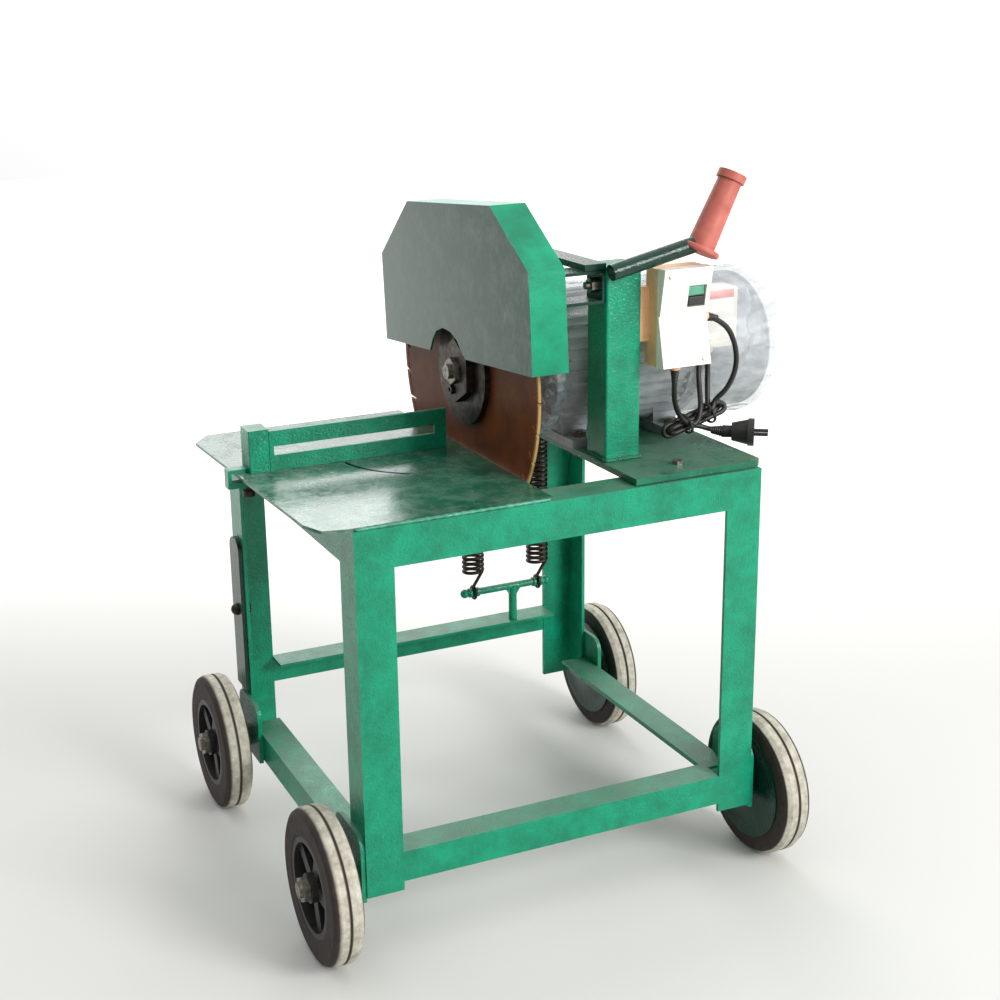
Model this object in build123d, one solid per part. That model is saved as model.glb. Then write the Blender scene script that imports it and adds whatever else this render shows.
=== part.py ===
from build123d import *
import math
import os

# Slab saw: an angle-iron trolley with a steel table and a tilting motor head.
# Layout axes in millimetres: x runs along the front rail, y from front to rear,
# z up from the bottom of the legs. Nodes are shifted to the shared origin on export.

# ---- frame ----
frame_length = 560.0
frame_depth = 512.0
rail_top_z = 478.0
rear_drop = 10.0
angle_leg = 50.0
angle_thick = 5.0
low_angle = 41.0
low_thick = 4.0
low_front_z = 53.0
low_side_z = 40.0
low_rear_z = 120.0
rear_bar_thick = 6.0

# ---- table ----
table_thick = 4.0
table_left = -60.0
table_right = 262.0
table_rear_gap = 20.0
table_front = 5.0

# ---- wheels ----
wheel_radius = 100.0
wheel_width = 40.0
wheel_gap = 22.0
hub_radius = 64.0
axle_radius = 10.0
axle_z = 7.0
axle_front_y = 44.0
axle_rear_inset = 18.0
bracket_thick = 6.0
run_clear = 0.05

# ---- head ----
plate_left = 378.0
plate_over = 5.0
plate_front = 4.0
plate_thick = 8.0
plate_gap = 1.5
pivot_inset = 102.0
pivot_z = 460.0
pivot_radius = 10.0
arm_depth = 25.0
spring_inset = 30.0
spring_x = (374.0, 485.0)
spring_bar_z = 176.0
column_x = 382.0
column_y = 88.0
column_side = 50.0
column_top_z = 740.0

# ---- spindle, blade and motor ----
spindle_y = 260.0
shaft_height = 102.0
blade_x = 268.0
blade_radius = 210.0
blade_thick = 2.8
rim_thick = 3.6
rim_depth = 9.0
slot_count = 32
flange_radius = 74.0
motor_front = 345.0
motor_rear = 690.0
motor_radius = 94.0
fin_height = 8.0
fin_count = 36

# ---- guard ----
guard_left = 241.0
guard_right = 291.0
guard_tilt = 4.4
guard_low = -244.0
guard_high = 218.0
guard_bottom = 22.0
guard_top = 222.0
guard_sheet = 3.0

# ---- switch box and cords ----
box_x = (444.0, 514.0)
box_y = (54.0, 100.0)
box_z = (608.0, 735.0)
cord_radius = 3.5

# ---- derived ----
table_rear = frame_depth - table_rear_gap
axle_rear_y = frame_depth - axle_rear_inset
pivot_y = frame_depth - pivot_inset
spring_y = frame_depth - spring_inset
plate_right = frame_length + plate_over
table_z = rail_top_z + table_thick
plate_z = rail_top_z + plate_gap
plate_top = plate_z + plate_thick
spindle_z = plate_top + shaft_height
stub_end = wheel_gap + wheel_width + 14.0
origin = ((motor_rear - stub_end) / 2, (axle_front_y + axle_rear_y) / 2, axle_z - wheel_radius)

os.makedirs("parts", exist_ok=True)


def save(shape, name):
    """Shift a finished piece to the shared origin and write it."""
    moved = Pos(-origin[0], -origin[1], -origin[2]) * shape
    export_step(moved, "parts/" + name + ".step")
    print(name, round(moved.volume), len(moved.solids()))


def block(x0, x1, y0, y1, z0, z1):
    """Box between two corners."""
    return Pos((x0 + x1) / 2, (y0 + y1) / 2, (z0 + z1) / 2) * Box(x1 - x0, y1 - y0, z1 - z0)


def rod_x(x0, x1, y, z, r):
    """Cylinder along x."""
    return Pos((x0 + x1) / 2, y, z) * Rot(0, 90, 0) * Cylinder(r, x1 - x0)


def rod_y(y0, y1, x, z, r):
    """Cylinder along y."""
    return Pos(x, (y0 + y1) / 2, z) * Rot(90, 0, 0) * Cylinder(r, y1 - y0)


def rod_z(z0, z1, x, y, r):
    """Cylinder along z."""
    return Pos(x, y, (z0 + z1) / 2) * Cylinder(r, z1 - z0)


def rod(p, q, r):
    """Cylinder between two points."""
    a, b = Vector(*p), Vector(*q)
    return extrude(Plane(origin=a, z_dir=b - a) * Circle(r), (b - a).length)


def hex_x(x0, x1, y, z, flat):
    """Hexagonal bar along x, flat to flat, two flats upright."""
    side = flat / math.sqrt(3)
    return extrude(Plane(origin=(x0, y, z), x_dir=(0, 0, 1), z_dir=(1, 0, 0)) * RegularPolygon(side, 6), x1 - x0)


def hex_z(z0, z1, x, y, flat):
    """Hexagonal bar along z."""
    return extrude(Plane(origin=(x, y, z0)) * RegularPolygon(flat / math.sqrt(3), 6), z1 - z0)


def mirrored(x):
    """The same distance in from the right-hand face of the frame."""
    return frame_length - x


# ------------------------------------------------------------------ legs
def leg(left, front):
    """Angle-iron leg with its corner outwards."""
    top = rail_top_z if front else rail_top_z - rear_drop
    x0 = 0 if left else mirrored(angle_leg)
    y0 = 0 if front else frame_depth - angle_leg
    xw = 0 if left else mirrored(angle_thick)
    yw = 0 if front else frame_depth - angle_thick
    face = block(x0, x0 + angle_leg, yw, yw + angle_thick, 0, top)
    side = block(xw, xw + angle_thick, y0, y0 + angle_leg, 0, top)
    return face + side


save(leg(True, True), "leg_front_left")
save(leg(False, True), "leg_front_right")
prop_bolt_y, prop_bolt_z = frame_depth - 25.0, 214.0
rear_left = leg(True, False)
rear_left -= rod_x(-1, angle_thick + 1, prop_bolt_y, prop_bolt_z, 5.0)
save(rear_left, "leg_rear_left")
save(leg(False, False), "leg_rear_right")


# ------------------------------------------------------------------ rails
def rail_x(y_face, inward, top, size, thick, z_drop):
    """Angle rail along x: an upright face and a flat flange turned inwards."""
    x0, x1 = angle_leg, mirrored(angle_leg)
    y0, y1 = sorted((y_face, y_face + inward * thick))
    face = block(x0, x1, y0, y1, top - z_drop, top)
    y0, y1 = sorted((y_face, y_face + inward * size))
    return face + block(x0, x1, y0, y1, top - thick, top)


def rail_y(x_face, inward, top, size, thick, z_drop):
    """Angle rail along y."""
    y0, y1 = angle_leg, frame_depth - angle_leg
    x0, x1 = sorted((x_face, x_face + inward * thick))
    face = block(x0, x1, y0, y1, top - z_drop, top)
    x0, x1 = sorted((x_face, x_face + inward * size))
    return face + block(x0, x1, y0, y1, top - thick, top)


save(rail_x(0, 1, rail_top_z, angle_leg, angle_thick, angle_leg), "rail_top_front")
save(rail_y(0, 1, rail_top_z, angle_leg, angle_thick, angle_leg), "rail_top_left")
save(rail_y(frame_length, -1, rail_top_z, angle_leg, angle_thick, angle_leg), "rail_top_right")
rear_top = rail_top_z - rear_drop
save(block(angle_leg, mirrored(angle_leg), frame_depth - rear_bar_thick, frame_depth,
           rear_top - angle_leg, rear_top), "rail_top_rear")
save(rail_x(0, 1, low_front_z, low_angle, low_thick, low_angle), "rail_low_front")
save(rail_x(frame_depth, -1, low_rear_z, low_angle, low_thick, low_angle), "rail_low_rear")
save(rail_y(0, 1, low_side_z, low_angle, low_thick, low_angle), "rail_low_left")
save(rail_y(frame_length, -1, low_side_z, low_angle, low_thick, low_angle), "rail_low_right")

# ------------------------------------------------------------------ table plate
outline = [(-34, 12), (-4, table_front), (table_right, table_front), (table_right, table_rear),
           (-34, table_rear), (table_left, table_rear - 34), (-46, 44)]
table = extrude(Plane(origin=(0, 0, rail_top_z)) * make_face(Polyline(*outline, close=True)), table_thick)
groove = Plane(origin=(0, 0, rail_top_z + 1.5)) * ThreePointArc((91, 268), (106, 221), (147, 178))
groove_tube = sweep(Plane(origin=groove @ 0, z_dir=groove % 0) * Rectangle(4.6, 3.2), path=groove)
table -= Pos(0, 0, 2.5) * groove_tube
save(table, "table_plate")


# ------------------------------------------------------------------ pivot lugs and shaft
lug_x = (plate_left + 18, spring_x[1] - 29)
lug_thick = 10.0
lug_round = 14.0
lug_side = Plane(origin=(0, 0, 0), x_dir=(0, 1, 0), z_dir=(1, 0, 0))
lug_face = make_face(Polyline((pivot_y, pivot_z + lug_round), (frame_depth - rear_bar_thick, rear_top - 20),
                              (frame_depth - rear_bar_thick, rear_top - angle_leg),
                              (pivot_y, pivot_z - lug_round), close=True))
lugs = []
for x in lug_x:
    lug = Pos(x, 0, 0) * extrude(lug_side * lug_face, lug_thick)
    lug += rod_x(x, x + lug_thick, pivot_y, pivot_z, lug_round)
    lug -= rod_x(x - 1, x + lug_thick + 1, pivot_y, pivot_z, pivot_radius)
    lugs.append(lug)
save(Compound(children=lugs), "pivot_lugs")

shaft_x0 = lug_x[0] - 5.5
shaft_x1 = lug_x[1] + lug_thick + 5.5
shaft = rod_x(shaft_x0, shaft_x1, pivot_y, pivot_z, pivot_radius)
shaft += rod_x(shaft_x0, lug_x[0], pivot_y, pivot_z, pivot_radius + 4)
shaft += rod_x(lug_x[1] + lug_thick, shaft_x1, pivot_y, pivot_z, pivot_radius + 4)
save(shaft, "pivot_shaft")

# ------------------------------------------------------------------ spring bar on the rear rail
bar_x = (359.0, 500.0)
post_x = 442.0
spring_bar = rod_x(bar_x[0], bar_x[1], spring_y, spring_bar_z, 5.5)
spring_bar += rod_z(low_rear_z, spring_bar_z, post_x, spring_y, 6.5)
spring_bar += extrude(Plane(origin=(post_x - 3, spring_y, spring_bar_z), x_dir=(1, 0, 0), z_dir=(0, 1, 0))
                      * make_face(Polyline((-12, 0), (18, 0), (3, 22), close=True)), 3, both=True)
for x in spring_x:
    for side in (-1, 1):
        spring_bar += rod_x(x + side * 6 - 2, x + side * 6 + 2, spring_y, spring_bar_z, 7.5)
for x in bar_x:
    spring_bar += Pos(x, spring_y, spring_bar_z) * Sphere(7.0)
save(spring_bar, "spring_bar")

# ------------------------------------------------------------------ wheel brackets and stub axles
brackets = []
axles = []
for left in (True, False):
    for y in (axle_front_y, axle_rear_y):
        x0, x1 = (-bracket_thick, 0) if left else (frame_length, frame_length + bracket_thick)
        y0, y1 = (2, 92) if y == axle_front_y else (frame_depth - 94, frame_depth - 4)
        plate = block(x0, x1, y0, y1, -6, 84)
        inner = [e for e in plate.edges().filter_by(Axis.X) if e.center().Z > 80]
        plate = fillet(inner, 20)
        plate -= rod_x(x0 - 1, x1 + 1, y, axle_z, axle_radius)
        brackets.append(plate)
        a, b = sorted((x1 if left else x0, -stub_end if left else frame_length + stub_end))
        axle = rod_x(a, b, y, axle_z, axle_radius)
        s = -1 if left else 1
        face = 0 if left else frame_length
        n0, n1 = sorted((face + s * (wheel_gap + wheel_width + 1.5), face + s * (stub_end - 4)))
        nut = hex_x(n0, n1, y, axle_z, 30)
        c0, c1 = sorted((face + s * bracket_thick, face + s * (wheel_gap - 1.0)))
        collar = rod_x(c0, c1, y, axle_z, 16)
        axles.append(axle + nut + collar)
save(Compound(children=brackets), "axle_brackets")
save(Compound(children=axles), "stub_axles")


# ------------------------------------------------------------------ wheels
def wheel(left, y, name):
    """Moulded hub with five spokes and a rubber tyre."""
    x0 = -wheel_gap - wheel_width if left else frame_length + wheel_gap
    x1 = x0 + wheel_width
    mid = (x0 + x1) / 2
    half = wheel_width / 2
    side = Plane(origin=(mid, y, axle_z), x_dir=(0, 0, 1), z_dir=(0, 1, 0))
    groove_half, groove_deep = 1.6, 2.5
    profile = [(hub_radius, -half + 1), (hub_radius + 4, -half), (wheel_radius - 9, -half),
               (wheel_radius - 3, -half + 3), (wheel_radius, -half + 9), (wheel_radius, -groove_half),
               (wheel_radius - groove_deep, 0), (wheel_radius, groove_half), (wheel_radius, half - 9),
               (wheel_radius - 3, half - 3), (wheel_radius - 9, half), (hub_radius + 4, half),
               (hub_radius, half - 1)]
    tyre = revolve(side * make_face(Polyline(*profile, close=True)), Axis((mid, y, axle_z), (1, 0, 0)))
    save(tyre, name + "_tyre")
    rim_wall = 7.0
    hub = rod_x(x0 + 1, x1 - 1, y, axle_z, hub_radius) - rod_x(x0, x1, y, axle_z, hub_radius - rim_wall)
    hub += rod_x(mid - 3, mid + 3, y, axle_z, hub_radius - rim_wall + 1)
    hub += rod_x(x0 - 1, x1 + 1, y, axle_z, 19)
    window = rod_x(mid - 4, mid + 4, y, axle_z, hub_radius - rim_wall - 4)
    window -= rod_x(mid - 5, mid + 5, y, axle_z, 25)
    spokes = []
    for i in range(5):
        rib = Pos(mid, y, axle_z) * Rot(72 * i + 20, 0, 0) * Pos(0, 0, hub_radius / 2) * Box(26, 17, hub_radius)
        rib &= rod_x(x0, x1, y, axle_z, hub_radius - rim_wall + 1)
        spokes.append(rib)
    for rib in spokes:
        window -= rib
    hub -= window
    for rib in spokes:
        hub += rib
    hub -= rod_x(x0 - 5, x1 + 5, y, axle_z, axle_radius + run_clear)
    save(hub, name + "_hub")


wheel(True, axle_front_y, "wheel_front_left")
wheel(True, axle_rear_y, "wheel_rear_left")
wheel(False, axle_front_y, "wheel_front_right")
wheel(False, axle_rear_y, "wheel_rear_right")

# ------------------------------------------------------------------ prop bar on the rear left leg
prop_width, prop_low, prop_high = 44.0, 92.0, 325.0
prop = block(-6.5, -0.5, prop_bolt_y - prop_width / 2, prop_bolt_y + prop_width / 2, prop_low, prop_high)
ends = [e for e in prop.edges().filter_by(Axis.X) if e.center().Z > prop_high - 1]
prop = fillet(ends, 18)
prop -= rod_x(-10, 2, prop_bolt_y, prop_bolt_z, 5.05)
save(prop, "prop_bar")
bolt = rod_x(-8, angle_thick, prop_bolt_y, prop_bolt_z, 5.0)
head = Pos(-7, prop_bolt_y, prop_bolt_z) * Sphere(9.0) & block(-20, -7, prop_bolt_y - 40, prop_bolt_y + 40, 180, 260)
bolt += head + hex_x(angle_thick, angle_thick + 7, prop_bolt_y, prop_bolt_z, 17)
save(bolt, "prop_bolt")


# ------------------------------------------------------------------ springs
def spring(x):
    """Extension spring with an eye on the bar and an eye in the arm."""
    wire, coil = 2.6, 15.0
    low, high, pitch = 208.0, 436.0, 7.6
    path = Pos(x, spring_y, low) * Helix(pitch, high - low, coil)
    start = path @ 0
    coil_body = sweep(Plane(origin=start, z_dir=path % 0) * Circle(wire), path=path, is_frenet=True)
    eye = Pos(x, spring_y, spring_bar_z) * Rot(0, 90, 0) * Torus(9.0, wire)
    top_z = plate_z - arm_depth + 3.5
    top = Pos(x, spring_y, top_z) * Rot(90, 0, 0) * Torus(11.0, wire)
    body = coil_body
    for end, ring, ring_z in ((path @ 0, eye, spring_bar_z + 9.0), (path @ 1, top, top_z - 11.0)):
        hook = ring + rod((end.X, end.Y, end.Z), (x, spring_y + 0.3, ring_z), wire - 0.1)
        hook += Pos(end.X, end.Y, end.Z) * Sphere(wire + 0.15)
        body += hook
    return body


save(spring(spring_x[0]), "spring_left")
save(spring(spring_x[1]), "spring_right")

# ------------------------------------------------------------------ rocker plate with fork and knuckle
plate = block(plate_left, plate_right, plate_front, pivot_y + 5, plate_z, plate_top)
corners = [e for e in plate.edges().filter_by(Axis.Z) if e.center().X > plate_right - 1]
plate = fillet(corners, 14)
rail_relief = 8.0
plate -= block(mirrored(angle_leg) - 2, plate_right + 1, pivot_y - rail_relief, pivot_y + 6, plate_z - 1, plate_top + 1)
wing_x = spring_x[0] - 6
plate += block(wing_x, plate_left + 1, pivot_y - 80, pivot_y + 5, plate_z, plate_top)
for x in spring_x:
    arm = block(x - 4, x + 4, pivot_y - 60, spring_y + 14, plate_z - arm_depth, plate_z)
    arm -= rod_x(x - 5, x + 5, spring_y, plate_z - 11, 4.5)
    plate += arm
knuckle_x = (lug_x[0] + lug_thick + 2, lug_x[1] - 2)
knuckle = block(knuckle_x[0], knuckle_x[1], pivot_y - 17, pivot_y + 5, pivot_z, plate_z)
knuckle += rod_x(knuckle_x[0], knuckle_x[1], pivot_y, pivot_z, 17)
knuckle -= rod_x(knuckle_x[0] - 1, knuckle_x[1] + 1, pivot_y, pivot_z, pivot_radius + run_clear)
plate += knuckle
foot_x = (395.0, 535.0)
foot_y = (spindle_y - 80, spindle_y + 80)
for x in foot_x:
    for y in foot_y:
        plate -= rod_z(plate_z - 1, plate_top + 1, x, y, 5.5)
spare_x, spare_y = 459.0, 40.0
plate -= rod_z(plate_z - 1, plate_top + 1, spare_x, spare_y, 4.5)
save(plate, "rocker_plate")

# ------------------------------------------------------------------ column, guard arm and bracket
column = block(column_x, column_x + column_side, column_y, column_y + column_side, plate_top, column_top_z)
column = fillet(column.edges().filter_by(Axis.Z), 3)
column -= block(column_x + 3, column_x + column_side - 3, column_y + 3, column_y + column_side - 3,
                plate_top + 3, column_top_z - 3)
save(column, "column")

arm_z = 737.0
arm_x = (column_x - 30, column_x)
arm_rear = 300.0
arm = block(arm_x[0], arm_x[1], column_y + 2, arm_rear, arm_z, arm_z + 8)
arm += block(guard_right, arm_x[1], arm_rear - 30, arm_rear, arm_z, arm_z + 8)
arm += block(guard_right, guard_right + 6, arm_rear - 30, arm_rear, arm_z - 30, arm_z + 8)

br_z = (694.0, 736.0)
br_y = (92.0, 132.0)
bracket = block(guard_right, column_x, br_y[0], br_y[1], br_z[0], br_z[1])
bracket -= block(guard_right + 4, column_x - 4, br_y[0] - 1, br_y[1] + 1, br_z[0] + 4, br_z[1] - 4)
bolt_y, bolt_z = 112.0, 715.0
for x in (guard_right, column_x):
    bracket -= rod_x(x - 5, x + 5, bolt_y, bolt_z, 5.0)
save(Compound(children=[arm, bracket]), "guard_arm")

# ------------------------------------------------------------------ blade guard
c, s = math.cos(math.radians(guard_tilt)), math.sin(math.radians(guard_tilt))


def guard_plane(x):
    """Plane through the spindle, tilted with the guard."""
    return Plane(origin=(x, spindle_y, spindle_z), x_dir=(0, c, -s), z_dir=(1, 0, 0))


def guard_face(bottom):
    """Outline of the guard down to a given height."""
    pts = [(guard_low, bottom), (guard_high, bottom), (guard_high, 146), (guard_high - 105, guard_top),
           (guard_low + 98, guard_top), (guard_low, 146)]
    return make_face(Polyline(*pts, close=True))


width = guard_right - guard_left
guard = extrude(guard_plane(guard_left) * guard_face(guard_bottom), width)
inner_face = offset(guard_face(guard_bottom - 60), -guard_sheet, kind=Kind.INTERSECTION)
guard -= extrude(guard_plane(guard_left + guard_sheet) * inner_face, width - 2 * guard_sheet)
notch = [(-57, 21), (-44, 30), (-30, 45), (-10, 54), (14, 57), (36, 51), (50, 38), (61, 21), (61, 0), (-57, 0)]
guard -= extrude(guard_plane(guard_left - 1) * make_face(Polyline(*notch, close=True)), guard_sheet + 2)
guard -= extrude(guard_plane(guard_right - guard_sheet - 1)
                 * (Pos(0, 0) * Rectangle(100, 120)), guard_sheet + 2)
guard -= rod_x(guard_right - guard_sheet - 1, guard_right + 1, bolt_y, bolt_z, 5.0)
save(guard, "blade_guard")

# ------------------------------------------------------------------ handle
tube_y = column_y - 14.0
tube_pts = [(column_x - 2, tube_y, 735), (512, tube_y, 763), (541, tube_y, 820)]
tube_path = FilletPolyline(*tube_pts, radius=24)
tube = sweep(Plane(origin=tube_path @ 0, z_dir=tube_path % 0) * Circle(10.5), path=tube_path)
tube += rod_y(tube_y, column_y, column_x + 9, 733, 6)
save(tube, "handle_tube")

grip_dir = Vector(29, 0, 57).normalized()
grip_base = Vector(505, tube_y, 750)


def along(distance):
    """Point on the grip's axis."""
    p = grip_base + grip_dir * distance
    return (p.X, p.Y, p.Z)


grip = rod(along(0), along(7), 26)
grip = fillet(grip.edges(), 2.5)
cone = Solid.make_cone(18.0, 15.5, 94, Plane(origin=along(5), z_dir=grip_dir))
grip += cone
grip += rod(along(97), along(107), 18.5)
grip -= tube
tail_tube = rod((column_x, tube_y, 735.4), (512, tube_y, 763), 10.5)
grip -= tail_tube
save(grip, "handle_grip")

# ------------------------------------------------------------------ switch box
base = block(box_x[0], box_x[1], box_y[0] + 16, box_y[1], box_z[0] + 1, box_z[1] - 1)
base = fillet(base.edges().filter_by(Axis.Z).filter_by(lambda e: e.center().Y > box_y[1] - 1), 4)
base -= block(box_x[0] + 3, box_x[1] - 3, box_y[0] + 15, box_y[1] - 3, box_z[0] + 4, box_z[1] - 4)
base += block(column_x + column_side, box_x[0] + 4, column_y + 2, box_y[1], 640, 710)
gland_r = (box_x[1], 78.0, 667.0)
gland_d = (477.0, 78.0, box_z[0] + 1)
base += rod_x(box_x[1] - 1, box_x[1] + 8, gland_r[1], gland_r[2], 6.5)
base += rod_z(box_z[0] - 7, box_z[0] + 2, gland_d[0], gland_d[1], 6.5)
save(base, "switch_base")

mid_z = 675.0
cover_side = Plane(origin=(box_x[0], 0, 0), x_dir=(0, 1, 0), z_dir=(1, 0, 0))
cover_pts = [(box_y[0] + 16, box_z[0]), (box_y[0] - 2, box_z[0] + 2), (box_y[0] + 12, mid_z - 1),
             (box_y[0] + 9, mid_z), (box_y[0] - 2, box_z[1]), (box_y[0] + 16, box_z[1])]
cover = extrude(cover_side * make_face(Polyline(*cover_pts, close=True)), box_x[1] - box_x[0])
btn_x = (482.0, 508.0)
btn_z = (684.0, 712.0)
recess_y = box_y[0] + 11
cover -= block(btn_x[0], btn_x[1], box_y[0] - 10, recess_y, btn_z[0], btn_z[1])
hole_clear = 0.4
btn_mid = (btn_z[0] + btn_z[1]) / 2
for z0, z1 in ((btn_mid + 0.5, btn_z[1] - 1), (btn_z[0] + 1, btn_mid - 0.5)):
    cover -= block(btn_x[0] + 1, btn_x[1] - 1, box_y[0], box_y[1], z0, z1)
for x, z in ((454, 726), (505, 618)):
    cover += rod_y(box_y[0] - 3, box_y[0] + 8, x, z, 3.2)
save(cover, "switch_cover")


def button(z0, z1):
    """Push button with a stem flange behind the cover."""
    cap = block(btn_x[0] + 1 + hole_clear, btn_x[1] - 1 - hole_clear, recess_y - 5, box_y[0] + 16.5,
                z0 + hole_clear, z1 - hole_clear)
    return fillet(cap.edges().group_by(Axis.Y)[0], 1.2)


save(button(btn_mid + 0.5, btn_z[1] - 1), "start_button")
save(button(btn_z[0] + 1, btn_mid - 0.5), "stop_button")

# ------------------------------------------------------------------ motor
stator_x = (372.0, 560.0)
core_radius = motor_radius - fin_height
stator = rod_x(stator_x[0], stator_x[1], spindle_y, spindle_z, core_radius)
for i in range(fin_count):
    fin = Rot(360 / fin_count * i, 0, 0) * Pos(0, 0, core_radius + fin_height / 2 - 1)
    fin = fin * Box(stator_x[1] - stator_x[0] - 8, 3.0, fin_height + 2)
    stator += Pos(sum(stator_x) / 2, spindle_y, spindle_z) * fin
stator -= rod_x(stator_x[0] - 1, stator_x[1] + 1, spindle_y, spindle_z, 58.0)
tbox_x, tbox_y, tbox_z = (504.0, 600.0), (124.0, 178.0), (612.0, 692.0)
stator += block(tbox_x[0], tbox_x[1] - 42, tbox_y[0] + 30, tbox_y[1] + 22, tbox_z[0] + 8, tbox_z[1] - 22)
stator -= rod_x(stator_x[0] - 1, stator_x[1] + 1, spindle_y, spindle_z, 58.0)
save(stator, "motor_stator")
terminal = block(tbox_x[0], tbox_x[1], tbox_y[0], tbox_y[0] + 30, tbox_z[0], tbox_z[1])
terminal = fillet(terminal.edges().filter_by(Axis.Y), 5)
motor_cord_x = (548.0, 562.0)
for x in motor_cord_x:
    terminal += rod_z(tbox_z[0] - 7, tbox_z[0] + 2, x, tbox_y[0] + 8, 6.0)
save(terminal, "terminal_box")


def bell(x0, x1, taper_front, bore):
    """End bell: a turned disc with a bearing boss."""
    w = x1 - x0
    r0, r1 = (motor_radius - 30, motor_radius - 2) if taper_front else (motor_radius - 2, motor_radius - 8)
    side = Plane(origin=(x0, spindle_y, spindle_z), x_dir=(0, 0, 1), z_dir=(0, 1, 0))
    shell = revolve(side * make_face(Polyline((bore, 0), (r0, 0), (r1, w * 0.45), (r1, w), (bore, w), close=True)),
                    Axis((x0, spindle_y, spindle_z), (1, 0, 0)))
    return shell


shaft_radius = 16.0
rear_journal = 12.0
front_bell = bell(motor_front, stator_x[0], True, shaft_radius + run_clear)
save(front_bell, "motor_front_bell")
rear_bell = bell(stator_x[1], stator_x[1] + 20, False, rear_journal + run_clear)
save(rear_bell, "motor_rear_bell")

feet = []
for x in foot_x:
    foot = block(x - 20, x + 20, foot_y[0] - 16, foot_y[1] + 16, plate_top, plate_top + 12)
    for y, sgn in ((foot_y[0], 1), (foot_y[1], -1)):
        y0, y1 = sorted((y + sgn * 14, y + sgn * 60))
        foot += block(x - 18, x + 18, y0, y1, plate_top + 11, spindle_z - core_radius + 30)
    foot -= rod_x(x - 21, x + 21, spindle_y, spindle_z, motor_radius + 0.3)
    for y in foot_y:
        foot -= rod_z(plate_top - 1, plate_top + 60, x, y, 5.5)
        foot -= rod_z(plate_top + 12, plate_top + 80, x, y, 13)
    feet.append(foot)
save(Compound(children=feet), "motor_feet")

cowl_x = (stator_x[1] + 15, motor_rear)
cowl_r = motor_radius + 2
cowl = rod_x(cowl_x[0], cowl_x[1], spindle_y, spindle_z, cowl_r)
cowl = fillet(cowl.edges().group_by(Axis.X)[-1], 14)
cowl -= rod_x(cowl_x[0] - 1, cowl_x[1] - 3, spindle_y, spindle_z, cowl_r - 2.5) & rod_x(
    cowl_x[0] - 2, cowl_x[1] - 12, spindle_y, spindle_z, cowl_r - 2.5) + rod_x(
    cowl_x[0], cowl_x[1] - 3, spindle_y, spindle_z, cowl_r - 14)
for ring, count in ((30, 10), (50, 16), (70, 22)):
    for i in range(count):
        spot = Rot(360 / count * i, 0, 0) * Pos(0, 0, ring) * Box(12, 6, 13)
        cowl -= Pos(cowl_x[1] - 3, spindle_y, spindle_z) * spot
save(cowl, "fan_cowl")

head_bolts = []
for x in foot_x:
    for y in foot_y:
        over_rail = x > mirrored(angle_leg)
        low = plate_z if over_rail else plate_z - 8
        pin = rod_z(low, plate_top + 20, x, y, 5.0) + hex_z(plate_top + 12, plate_top + 19, x, y, 17)
        if not over_rail:
            pin += hex_z(plate_z - 7, plate_z, x, y, 17)
        head_bolts.append(pin)
spare_bolt = rod_z(plate_z, plate_top, spare_x, spare_y, 4.5)
head_bolts.append(spare_bolt + hex_z(plate_top, plate_top + 5, spare_x, spare_y, 13))
head_bolts.append(rod_x(guard_right - guard_sheet, guard_right + 18, bolt_y, bolt_z, 5.0)
                  + hex_x(guard_right + 4, guard_right + 12, bolt_y, bolt_z, 17)
                  + rod_x(guard_right - guard_sheet - 4, guard_right - guard_sheet, bolt_y, bolt_z, 8))
head_bolts.append(rod_x(column_x - 18, column_x, bolt_y, bolt_z, 5.0)
                  + hex_x(column_x - 12, column_x - 4, bolt_y, bolt_z, 17))
save(Compound(children=head_bolts), "head_bolts")

# ------------------------------------------------------------------ rotor, flanges and blade
half_core = blade_thick / 2
spindle_end = guard_left - 5
arbor = rod_x(spindle_end, blade_x - half_core - 18, spindle_y, spindle_z, 10)
arbor += rod_x(blade_x - half_core - 18, motor_front - 20, spindle_y, spindle_z, 12.7)
arbor += rod_x(blade_x + half_core, blade_x + half_core + 8, spindle_y, spindle_z, flange_radius)
arbor += rod_x(blade_x + half_core + 8, motor_front - 8, spindle_y, spindle_z, 27)
arbor += rod_x(motor_front - 20, stator_x[1], spindle_y, spindle_z, shaft_radius)
arbor += rod_x(stator_x[0] + 20, stator_x[1] - 20, spindle_y, spindle_z, 57.4)
arbor += rod_x(stator_x[1] - 1, stator_x[1] + 70, spindle_y, spindle_z, rear_journal)
save(arbor, "motor_rotor")

blade = rod_x(blade_x - half_core, blade_x + half_core, spindle_y, spindle_z, blade_radius - rim_depth + 1)
rim = rod_x(blade_x - rim_thick / 2, blade_x + rim_thick / 2, spindle_y, spindle_z, blade_radius)
rim -= rod_x(blade_x - 5, blade_x + 5, spindle_y, spindle_z, blade_radius - rim_depth)
blade += rim
for i in range(slot_count):
    cut = Rot(360 / slot_count * i, 0, 0) * Pos(0, 0, blade_radius - 5) * Rot(28, 0, 0) * Box(10, 3.6, 26)
    blade -= Pos(blade_x, spindle_y, spindle_z) * cut
blade -= rod_x(blade_x - 5, blade_x + 5, spindle_y, spindle_z, 12.7)
save(blade, "blade")

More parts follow.
